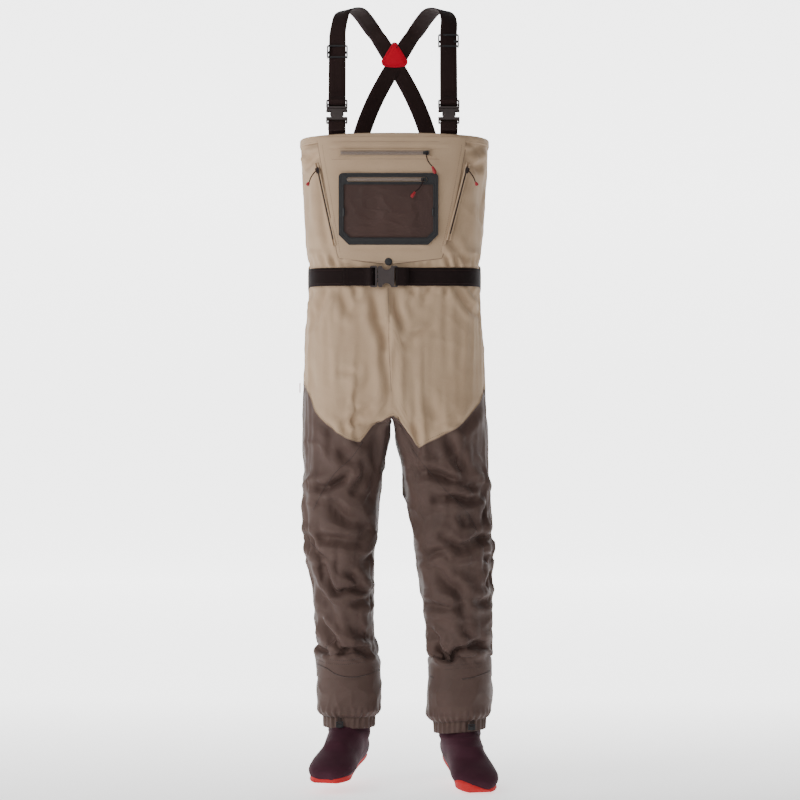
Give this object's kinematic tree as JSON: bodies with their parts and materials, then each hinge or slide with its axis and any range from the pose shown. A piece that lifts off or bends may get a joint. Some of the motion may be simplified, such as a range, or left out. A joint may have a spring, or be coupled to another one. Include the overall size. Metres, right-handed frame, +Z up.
{
  "type": "chest waders",
  "caption": "Stocking-foot chest waders hanging as worn: hollow fabric body and legs, neoprene booties, crossed suspenders with buckles, wading belt, zipped chest pocket.",
  "frame": {"origin": "centre of the yoke at the back, where the suspenders cross", "axes": "+Z up, -Y the way the wearer faces, +X the wearer's left"},
  "size_m": [0.4443, 0.3575, 1.744],
  "materials": {
    "tan_fabric": "matte woven nylon shell, tan",
    "brown_fabric": "matte woven nylon shell, dark brown",
    "pocket_mesh": "coated brown fabric",
    "neoprene": "matte jersey-faced neoprene, plum",
    "red_rubber": "matte red rubber",
    "webbing": "woven webbing, dark brown",
    "black_rubber": "matte moulded rubber, black",
    "buckle_plastic": "moulded acetal, grey brown",
    "zip_grey": "coil zip, grey"
  },
  "bodies": {
    "waders": {"upper_shell": "tan_fabric", "right_leg_upper": "brown_fabric", "left_leg_upper": "brown_fabric", "bib_panel": "tan_fabric", "pocket_frame": "black_rubber", "pocket_window": "pocket_mesh", "pocket_zip_tape": "zip_grey", "chest_zip_tape": "zip_grey", "right_warmer_zip_tape": "zip_grey", "left_warmer_zip_tape": "zip_grey", "belt_snap": "black_rubber", "belt_webbing": "webbing", "belt_buckle_receiver": "buckle_plastic", "left_belt_loop": "tan_fabric", "back_belt_loop": "tan_fabric", "right_belt_loop": "tan_fabric", "right_suspender": "webbing", "right_strap_buckle_receiver": "buckle_plastic", "right_strap_tab": "webbing", "left_suspender": "webbing", "left_strap_buckle_receiver": "buckle_plastic", "left_strap_tab": "webbing", "yoke_inner_patch": "red_rubber", "yoke_outer_patch": "red_rubber", "hip_label": "red_rubber"},
    "right_shin": {"right_leg_lower": "brown_fabric", "right_gravel_guard": "brown_fabric", "right_guard_hem": "brown_fabric"},
    "right_foot": {"right_bootie": "neoprene", "right_sole": "red_rubber"},
    "right_lace_hook": {"right_lace_hook": "black_rubber"},
    "left_shin": {"left_leg_lower": "brown_fabric", "left_gravel_guard": "brown_fabric", "left_guard_hem": "brown_fabric"},
    "left_foot": {"left_bootie": "neoprene", "left_sole": "red_rubber"},
    "left_lace_hook": {"left_lace_hook": "black_rubber"},
    "belt_buckle_plug": {"belt_buckle_ladder": "buckle_plastic"},
    "belt_buckle_lower_latch": {"belt_buckle_lower_latch": "buckle_plastic"},
    "belt_buckle_upper_latch": {"belt_buckle_upper_latch": "buckle_plastic"},
    "right_strap_buckle_plug": {"right_strap_buckle_ladder": "buckle_plastic"},
    "right_strap_buckle_outer_latch": {"right_strap_buckle_outer_latch": "buckle_plastic"},
    "right_strap_buckle_inner_latch": {"right_strap_buckle_inner_latch": "buckle_plastic"},
    "left_strap_buckle_plug": {"left_strap_buckle_ladder": "buckle_plastic"},
    "left_strap_buckle_inner_latch": {"left_strap_buckle_inner_latch": "buckle_plastic"},
    "left_strap_buckle_outer_latch": {"left_strap_buckle_outer_latch": "buckle_plastic"},
    "right_strap_adjuster": {"right_strap_adjuster": "black_rubber"},
    "left_strap_adjuster": {"left_strap_adjuster": "black_rubber"},
    "chest_zip_slider": {"chest_zip_slider": "black_rubber"},
    "chest_zip_pull": {"chest_zip_pull_cord": "webbing", "chest_zip_pull_tip": "red_rubber"},
    "pocket_zip_slider": {"pocket_zip_slider": "black_rubber"},
    "pocket_zip_pull": {"pocket_zip_pull_cord": "webbing", "pocket_zip_pull_tip": "red_rubber"},
    "right_warmer_zip_slider": {"right_warmer_zip_slider": "black_rubber"},
    "right_warmer_zip_pull": {"right_warmer_zip_pull_cord": "webbing", "right_warmer_zip_pull_tip": "red_rubber"},
    "left_warmer_zip_slider": {"left_warmer_zip_slider": "black_rubber"},
    "left_warmer_zip_pull": {"left_warmer_zip_pull_cord": "webbing", "left_warmer_zip_pull_tip": "red_rubber"}
  },
  "joints": [
    {"name": "right_knee", "type": "hinge", "parent": "waders", "child": "right_shin", "pos_m": [-0.119, -0.1135, -1.167], "axis": [1, 0, 0], "range_deg": [0, 50]},
    {"name": "right_ankle", "type": "hinge", "parent": "right_shin", "child": "right_foot", "pos_m": [-0.101, -0.1115, -1.529], "axis": [0.9659, -0.2588, 0], "range_deg": [-12, 11]},
    {"name": "right_lace_hook_flip", "type": "hinge", "parent": "right_shin", "child": "right_lace_hook", "pos_m": [-0.122, -0.17681, -1.5088], "axis": [-1, 0, 0], "range_deg": [0, 80]},
    {"name": "left_knee", "type": "hinge", "parent": "waders", "child": "left_shin", "pos_m": [0.139, -0.1135, -1.167], "axis": [1, 0, 0], "range_deg": [0, 50]},
    {"name": "left_ankle", "type": "hinge", "parent": "left_shin", "child": "left_foot", "pos_m": [0.147, -0.1115, -1.537], "axis": [0.9744, 0.225, 0], "range_deg": [-12, 11]},
    {"name": "left_lace_hook_flip", "type": "hinge", "parent": "left_shin", "child": "left_lace_hook", "pos_m": [0.172, -0.17577, -1.5148], "axis": [-1, 0, 0], "range_deg": [0, 80]},
    {"name": "belt_buckle_release", "type": "slide", "parent": "waders", "child": "belt_buckle_plug", "axis": [-1, 0, 0], "range_m": [0, 0.026]},
    {"name": "belt_buckle_lower_latch_press", "type": "hinge", "parent": "belt_buckle_plug", "child": "belt_buckle_lower_latch", "pos_m": [-0.0372, -0.261, -0.53125], "axis": [0, -1, 0], "range_deg": [0, 7], "stiffness_Nm_per_rad": 0.3},
    {"name": "belt_buckle_upper_latch_press", "type": "hinge", "parent": "belt_buckle_plug", "child": "belt_buckle_upper_latch", "pos_m": [-0.0372, -0.261, -0.51075], "axis": [0, 1, 0], "range_deg": [0, 7], "stiffness_Nm_per_rad": 0.3},
    {"name": "right_strap_buckle_release", "type": "slide", "parent": "waders", "child": "right_strap_buckle_plug", "axis": [0, 0.2656, 0.9641], "range_m": [0, 0.026]},
    {"name": "right_strap_buckle_outer_latch_press", "type": "hinge", "parent": "right_strap_buckle_plug", "child": "right_strap_buckle_outer_latch", "pos_m": [-0.13625, -0.26816, -0.15412], "axis": [0, -0.9641, 0.2656], "range_deg": [0, 7], "stiffness_Nm_per_rad": 0.3},
    {"name": "right_strap_buckle_inner_latch_press", "type": "hinge", "parent": "right_strap_buckle_plug", "child": "right_strap_buckle_inner_latch", "pos_m": [-0.11575, -0.26816, -0.15412], "axis": [0, 0.9641, -0.2656], "range_deg": [0, 7], "stiffness_Nm_per_rad": 0.3},
    {"name": "left_strap_buckle_release", "type": "slide", "parent": "waders", "child": "left_strap_buckle_plug", "axis": [0, 0.2656, 0.9641], "range_m": [0, 0.026]},
    {"name": "left_strap_buckle_inner_latch_press", "type": "hinge", "parent": "left_strap_buckle_plug", "child": "left_strap_buckle_inner_latch", "pos_m": [0.10925, -0.26816, -0.15412], "axis": [0, -0.9641, 0.2656], "range_deg": [0, 7], "stiffness_Nm_per_rad": 0.3},
    {"name": "left_strap_buckle_outer_latch_press", "type": "hinge", "parent": "left_strap_buckle_plug", "child": "left_strap_buckle_outer_latch", "pos_m": [0.12975, -0.26816, -0.15412], "axis": [0, 0.9641, -0.2656], "range_deg": [0, 7], "stiffness_Nm_per_rad": 0.3},
    {"name": "right_strap_adjust", "type": "slide", "parent": "waders", "child": "right_strap_adjuster", "axis": [0, 0.2656, 0.9641], "range_m": [-0.08, 0.02]},
    {"name": "left_strap_adjust", "type": "slide", "parent": "waders", "child": "left_strap_adjuster", "axis": [0, 0.2656, 0.9641], "range_m": [-0.1, 0]},
    {"name": "chest_zip_slide", "type": "slide", "parent": "waders", "child": "chest_zip_slider", "axis": [1, 0, 0], "range_m": [-0.168, 0]},
    {"name": "chest_zip_pull_swing", "type": "hinge", "parent": "chest_zip_slider", "child": "chest_zip_pull", "pos_m": [0.069, -0.29157, -0.25161], "axis": [-1, 0, 0], "range_deg": [0, 110]},
    {"name": "pocket_zip_slide", "type": "slide", "parent": "waders", "child": "pocket_zip_slider", "axis": [1, 0, 0], "range_m": [-0.155, 0]},
    {"name": "pocket_zip_pull_swing", "type": "hinge", "parent": "pocket_zip_slider", "child": "pocket_zip_pull", "pos_m": [0.064, -0.2873, -0.30946], "axis": [-1, 0, 0], "range_deg": [0, 110]},
    {"name": "right_warmer_zip_slide", "type": "slide", "parent": "waders", "child": "right_warmer_zip_slider", "axis": [-0.2137, -0.0076, 0.9769], "range_m": [-0.122, 0]},
    {"name": "right_warmer_zip_pull_swing", "type": "hinge", "parent": "right_warmer_zip_slider", "child": "right_warmer_zip_pull", "pos_m": [-0.17092, -0.2652, -0.28834], "axis": [-0.922, 0.3872, 0], "range_deg": [0, 110]},
    {"name": "left_warmer_zip_slide", "type": "slide", "parent": "waders", "child": "left_warmer_zip_slider", "axis": [0.2486, -0.0188, 0.9684], "range_m": [-0.122, 0]},
    {"name": "left_warmer_zip_pull_swing", "type": "hinge", "parent": "left_warmer_zip_slider", "child": "left_warmer_zip_pull", "pos_m": [0.16143, -0.27319, -0.28867], "axis": [-0.922, -0.3872, 0], "range_deg": [0, 110]}
  ]
}
